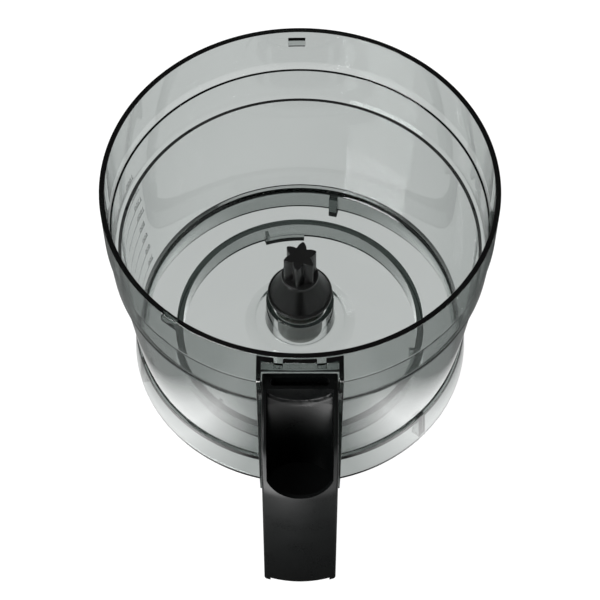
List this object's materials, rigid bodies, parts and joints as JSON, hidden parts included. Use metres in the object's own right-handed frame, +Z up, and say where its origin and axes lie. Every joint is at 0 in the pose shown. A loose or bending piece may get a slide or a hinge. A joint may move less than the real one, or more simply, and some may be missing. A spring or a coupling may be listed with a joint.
{
  "type": "food processor work bowl",
  "caption": "Clear flared mixing bowl with a hollow handle, a star-headed drive unit in its hub and a sprung lid-interlock rod in the handle's root.",
  "frame": {"origin": "middle of the bounding box's bottom face, on the plane that the bowl's skirt stands on", "axes": "+Z up along the bowl's axis, which stands at y = 0.024; the handle points to -Y; +X to the right for someone who faces the handle"},
  "size_m": [0.19, 0.238, 0.138],
  "materials": {
    "clear_plastic": "polished clear",
    "black_plastic": "fine satin",
    "acetal": "satin",
    "white_nylon": "satin",
    "steel": "ground",
    "seal_rubber": "matte"
  },
  "bodies": {
    "bowl": {"work_bowl": "clear_plastic", "handle_shell": "black_plastic", "grip_cover": "black_plastic", "root_screw_left": "steel", "root_screw_right": "steel", "cover_screw_lower": "steel", "cover_screw_upper": "steel", "rod_guide": "acetal", "spring_seat": "acetal", "interlock_spring": "steel", "lower_bush": "acetal", "upper_bush": "acetal", "spindle_seal": "seal_rubber"},
    "drive": {"drive_head": "black_plastic", "drive_spindle": "steel", "thrust_washer": "steel", "drive_coupling": "white_nylon", "coupling_pin": "steel", "retaining_clip": "steel"},
    "interlock": {"interlock_rod": "black_plastic"}
  },
  "joints": [
    {"name": "drive_spin", "type": "hinge", "parent": "bowl", "child": "drive", "pos_m": [0, 0.024, 0.05], "axis": [0, 0, 1], "continuous": true},
    {"name": "interlock_press", "type": "slide", "parent": "bowl", "child": "interlock", "axis": [0, 0.1004, -0.995], "range_m": [0, 0.007], "stiffness_N_per_m": 800, "springref_m": -0.004, "deforming": ["interlock_spring"]}
  ]
}
